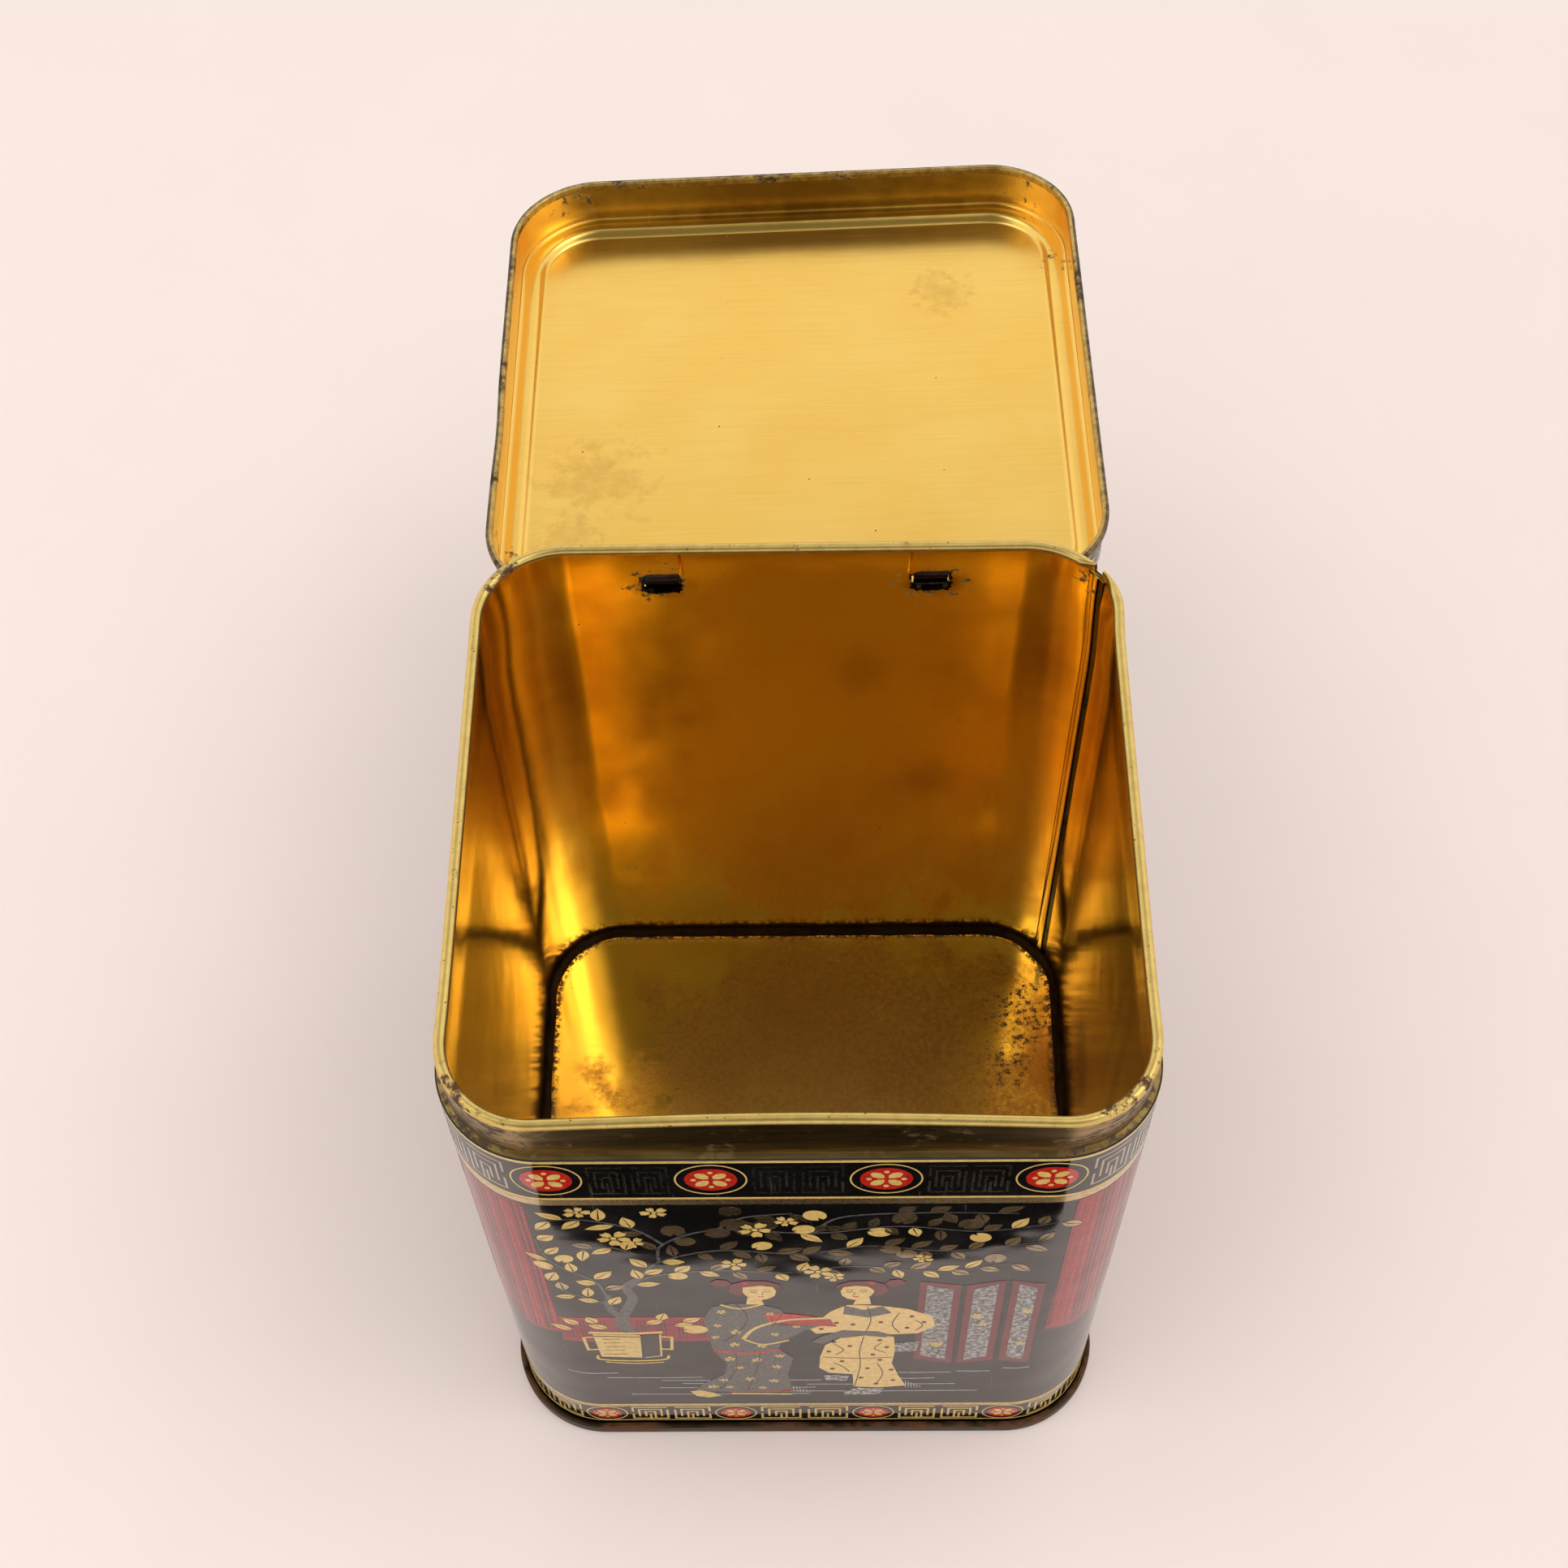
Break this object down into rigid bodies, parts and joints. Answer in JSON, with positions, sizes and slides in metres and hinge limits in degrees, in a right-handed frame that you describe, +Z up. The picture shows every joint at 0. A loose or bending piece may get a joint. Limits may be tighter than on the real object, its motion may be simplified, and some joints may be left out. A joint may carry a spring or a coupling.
{
  "type": "hinged tin canister",
  "caption": "Tall rounded-square tinplate canister with a curled rim, a seamed base and a shallow slip lid on a wire hinge at the back.",
  "frame": {"origin": "centre of the base panel's underside, 2.5 mm above the level the seam ring stands on", "axes": "+Z up to the rim, +Y to the hinge side where the open lid reaches out, +X to the right seen from the front"},
  "size_m": [0.1025, 0.2032, 0.125],
  "materials": {
    "printed_tinplate": "glossy black print outside, gold lacquer inside",
    "base_tinplate": "worn gold lacquer with rust",
    "lacquered_tinplate": "gold lacquer over brushed tinplate",
    "hinge_wire": "dull, tarnished"
  },
  "bodies": {
    "tin": {"body_shell": "printed_tinplate", "base_plate": "base_tinplate", "hinge_wire_left": "hinge_wire", "hinge_wire_right": "hinge_wire"},
    "lid": {"lid_shell": "lacquered_tinplate"}
  },
  "joints": [
    {"name": "lid_hinge", "type": "hinge", "parent": "tin", "child": "lid", "pos_m": [0, 0.0507, 0.1117], "axis": [0.9999, 0.0052, 0.0138], "range_deg": [0, 183.7]}
  ]
}
